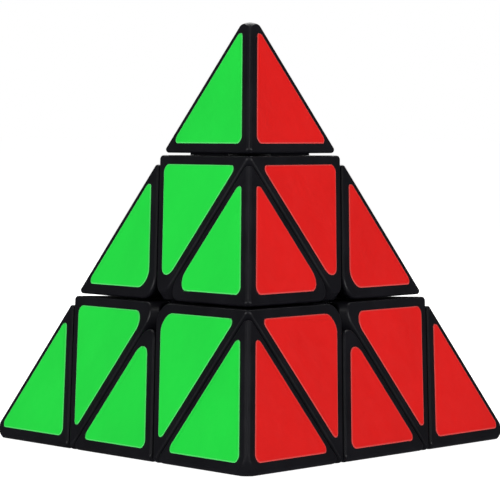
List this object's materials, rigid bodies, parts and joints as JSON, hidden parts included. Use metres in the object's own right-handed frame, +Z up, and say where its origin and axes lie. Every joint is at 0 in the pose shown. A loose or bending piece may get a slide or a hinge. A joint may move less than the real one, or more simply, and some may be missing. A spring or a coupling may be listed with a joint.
{
  "type": "pyramid twisty puzzle",
  "caption": "Pyramid-shaped twisty puzzle: four turning corner layers, a free-turning tip on each vertex, and coloured triangular stickers on a black plastic body.",
  "frame": {"origin": "centre of the core ball, where the four turning axes meet", "axes": "+Z up through the top vertex, -Y towards the front vertex, +X towards the right vertex's side"},
  "size_m": [0.0994, 0.0865, 0.0815],
  "materials": {
    "black_plastic": "satin",
    "core_plastic": "matte",
    "screw_steel": "satin",
    "sticker_green": "satin",
    "sticker_red": "satin",
    "sticker_yellow": "satin",
    "sticker_blue": "satin"
  },
  "bodies": {
    "core": {"core": "core_plastic", "core_screws": "screw_steel", "core_washers": "screw_steel", "core_springs": "screw_steel"},
    "axial_top_group": {"axial_top": "black_plastic", "sticker_green_axial_top": "sticker_green", "sticker_red_axial_top": "sticker_red", "sticker_yellow_axial_top": "sticker_yellow"},
    "axial_front_group": {"axial_front": "black_plastic", "sticker_green_axial_front": "sticker_green", "sticker_red_axial_front": "sticker_red", "sticker_blue_axial_front": "sticker_blue"},
    "axial_right_group": {"axial_right": "black_plastic", "sticker_red_axial_right": "sticker_red", "sticker_yellow_axial_right": "sticker_yellow", "sticker_blue_axial_right": "sticker_blue"},
    "axial_left_group": {"axial_left": "black_plastic", "sticker_green_axial_left": "sticker_green", "sticker_yellow_axial_left": "sticker_yellow", "sticker_blue_axial_left": "sticker_blue"},
    "tip_top_group": {"tip_top": "black_plastic", "sticker_green_tip_top": "sticker_green", "sticker_red_tip_top": "sticker_red", "sticker_yellow_tip_top": "sticker_yellow"},
    "tip_front_group": {"tip_front": "black_plastic", "sticker_green_tip_front": "sticker_green", "sticker_red_tip_front": "sticker_red", "sticker_blue_tip_front": "sticker_blue"},
    "tip_right_group": {"tip_right": "black_plastic", "sticker_red_tip_right": "sticker_red", "sticker_yellow_tip_right": "sticker_yellow", "sticker_blue_tip_right": "sticker_blue"},
    "tip_left_group": {"tip_left": "black_plastic", "sticker_green_tip_left": "sticker_green", "sticker_yellow_tip_left": "sticker_yellow", "sticker_blue_tip_left": "sticker_blue"},
    "edge_top_front_group": {"edge_top_front_cap": "black_plastic", "edge_top_front_foot": "black_plastic", "sticker_green_edge_top_front": "sticker_green", "sticker_red_edge_top_front": "sticker_red"},
    "edge_top_right_group": {"edge_top_right_cap": "black_plastic", "edge_top_right_foot": "black_plastic", "sticker_red_edge_top_right": "sticker_red", "sticker_yellow_edge_top_right": "sticker_yellow"},
    "edge_top_left_group": {"edge_top_left_cap": "black_plastic", "edge_top_left_foot": "black_plastic", "sticker_green_edge_top_left": "sticker_green", "sticker_yellow_edge_top_left": "sticker_yellow"},
    "edge_front_right_group": {"edge_front_right_cap": "black_plastic", "edge_front_right_foot": "black_plastic", "sticker_red_edge_front_right": "sticker_red", "sticker_blue_edge_front_right": "sticker_blue"},
    "edge_front_left_group": {"edge_front_left_cap": "black_plastic", "edge_front_left_foot": "black_plastic", "sticker_green_edge_front_left": "sticker_green", "sticker_blue_edge_front_left": "sticker_blue"},
    "edge_right_left_group": {"edge_right_left_cap": "black_plastic", "edge_right_left_foot": "black_plastic", "sticker_yellow_edge_right_left": "sticker_yellow", "sticker_blue_edge_right_left": "sticker_blue"}
  },
  "joints": [
    {"name": "layer_top", "type": "hinge", "parent": "core", "child": "axial_top_group", "pos_m": [0, 0, 0], "axis": [0, 0, 1], "range_deg": [-240, 120]},
    {"name": "layer_front", "type": "hinge", "parent": "core", "child": "axial_front_group", "pos_m": [0, 0, 0], "axis": [0, -0.9428, -0.3333], "range_deg": [-240, 120]},
    {"name": "layer_right", "type": "hinge", "parent": "core", "child": "axial_right_group", "pos_m": [0, 0, 0], "axis": [0.8165, 0.4714, -0.3333], "range_deg": [-240, 120]},
    {"name": "layer_left", "type": "hinge", "parent": "core", "child": "axial_left_group", "pos_m": [0, 0, 0], "axis": [-0.8165, 0.4714, -0.3333], "range_deg": [-240, 120]},
    {"name": "tip_top", "type": "hinge", "parent": "axial_top_group", "child": "tip_top_group", "pos_m": [0, 0, 0], "axis": [0, 0, 1], "continuous": true},
    {"name": "tip_front", "type": "hinge", "parent": "axial_front_group", "child": "tip_front_group", "pos_m": [0, 0, 0], "axis": [0, -0.9428, -0.3333], "continuous": true},
    {"name": "tip_right", "type": "hinge", "parent": "axial_right_group", "child": "tip_right_group", "pos_m": [0, 0, 0], "axis": [0.8165, 0.4714, -0.3333], "continuous": true},
    {"name": "tip_left", "type": "hinge", "parent": "axial_left_group", "child": "tip_left_group", "pos_m": [0, 0, 0], "axis": [-0.8165, 0.4714, -0.3333], "continuous": true},
    {"name": "edge_top_front_turn", "type": "hinge", "parent": "axial_top_group", "child": "edge_top_front_group", "pos_m": [0, 0, 0], "axis": [0, -0.9428, -0.3333], "range_deg": [-240, 120]},
    {"name": "edge_top_right_turn", "type": "hinge", "parent": "axial_top_group", "child": "edge_top_right_group", "pos_m": [0, 0, 0], "axis": [0.8165, 0.4714, -0.3333], "range_deg": [-240, 120]},
    {"name": "edge_top_left_turn", "type": "hinge", "parent": "axial_top_group", "child": "edge_top_left_group", "pos_m": [0, 0, 0], "axis": [-0.8165, 0.4714, -0.3333], "range_deg": [-240, 120]},
    {"name": "edge_front_right_turn", "type": "hinge", "parent": "axial_front_group", "child": "edge_front_right_group", "pos_m": [0, 0, 0], "axis": [0.8165, 0.4714, -0.3333], "range_deg": [-240, 120]},
    {"name": "edge_front_left_turn", "type": "hinge", "parent": "axial_left_group", "child": "edge_front_left_group", "pos_m": [0, 0, 0], "axis": [0, -0.9428, -0.3333], "range_deg": [-240, 120]},
    {"name": "edge_right_left_turn", "type": "hinge", "parent": "axial_right_group", "child": "edge_right_left_group", "pos_m": [0, 0, 0], "axis": [-0.8165, 0.4714, -0.3333], "range_deg": [-240, 120]}
  ],
  "couplings": [
    {"joint": "edge_top_front_turn", "follows": "layer_front", "ratio": 1},
    {"joint": "edge_top_right_turn", "follows": "layer_right", "ratio": 1},
    {"joint": "edge_top_left_turn", "follows": "layer_left", "ratio": 1},
    {"joint": "edge_front_right_turn", "follows": "layer_right", "ratio": 1},
    {"joint": "edge_front_left_turn", "follows": "layer_front", "ratio": 1},
    {"joint": "edge_right_left_turn", "follows": "layer_left", "ratio": 1}
  ]
}
